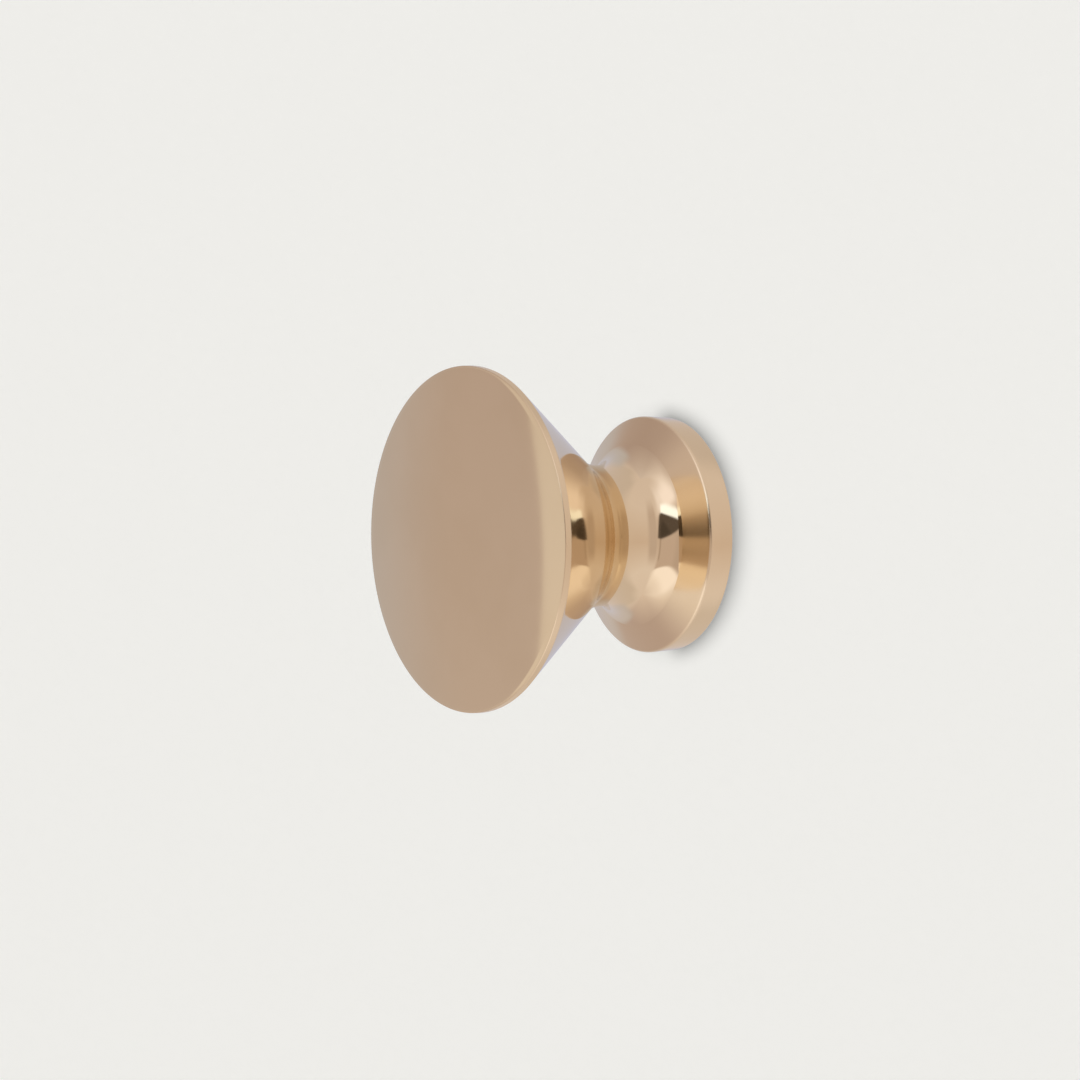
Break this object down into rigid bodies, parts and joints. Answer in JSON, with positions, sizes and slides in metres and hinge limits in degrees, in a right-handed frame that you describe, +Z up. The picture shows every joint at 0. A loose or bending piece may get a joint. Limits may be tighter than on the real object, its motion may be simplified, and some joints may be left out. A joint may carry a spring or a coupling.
{
  "type": "cabinet knob",
  "caption": "Round turned brass cabinet knob with a domed face, conical underside, hollowed waist and flanged base, tapped in its back for a fixing screw.",
  "frame": {"origin": "centre of the flat back face, at the mouth of the screw hole, on the plane of the door or drawer front", "axes": "knob axis along Y: +Y points into the door, -Y out of it to the domed face; +Z up"},
  "size_m": [0.038, 0.0275, 0.038],
  "materials": {
    "polished_brass": "polished"
  },
  "bodies": {
    "root": {"knob": "polished_brass"}
  },
  "joints": []
}
